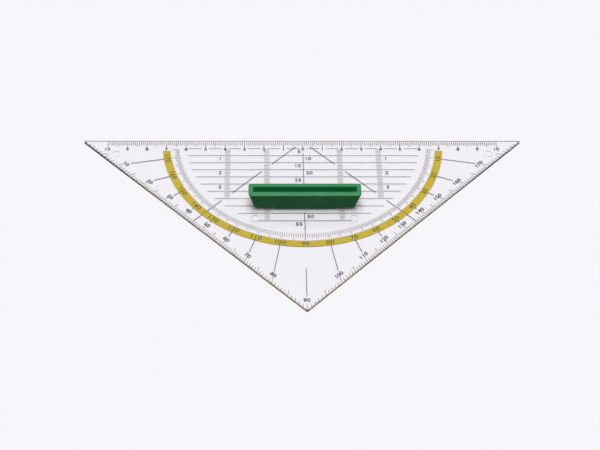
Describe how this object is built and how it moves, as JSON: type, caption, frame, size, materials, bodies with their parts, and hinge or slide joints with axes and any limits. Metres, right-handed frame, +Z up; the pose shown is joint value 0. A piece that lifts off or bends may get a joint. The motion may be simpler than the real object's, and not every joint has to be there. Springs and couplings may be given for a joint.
{
  "type": "geometry set square",
  "caption": "Clear triangular set square for drawing, with millimetre and degree scales printed under it and a moulded handle that pulls off upwards.",
  "frame": {"origin": "under the middle of the plate's outline, in the plane of the stud feet that it rests on", "axes": "+X along the long edge, +Y from the right-angled corner to the long edge, +Z up through the handle"},
  "size_m": [0.2246, 0.1128, 0.0134],
  "materials": {
    "clear_acrylic": "polished",
    "green_plastic": "satin",
    "black_ink": "matte",
    "yellow_ink": "matte"
  },
  "bodies": {
    "plate": {"clear_plate": "clear_acrylic", "edge_scale": "black_ink", "parallel_lines": "black_ink", "centre_line": "black_ink", "diagonal_lines": "black_ink", "upright_scales": "black_ink", "degree_ring": "black_ink", "degree_pointers": "black_ink", "degree_band": "yellow_ink", "leg_scale": "black_ink"},
    "grip": {"handle": "green_plastic"}
  },
  "joints": [
    {"name": "handle_pull_off", "type": "slide", "parent": "plate", "child": "grip", "axis": [0, 0, 1], "range_m": [0, 0.03]}
  ]
}
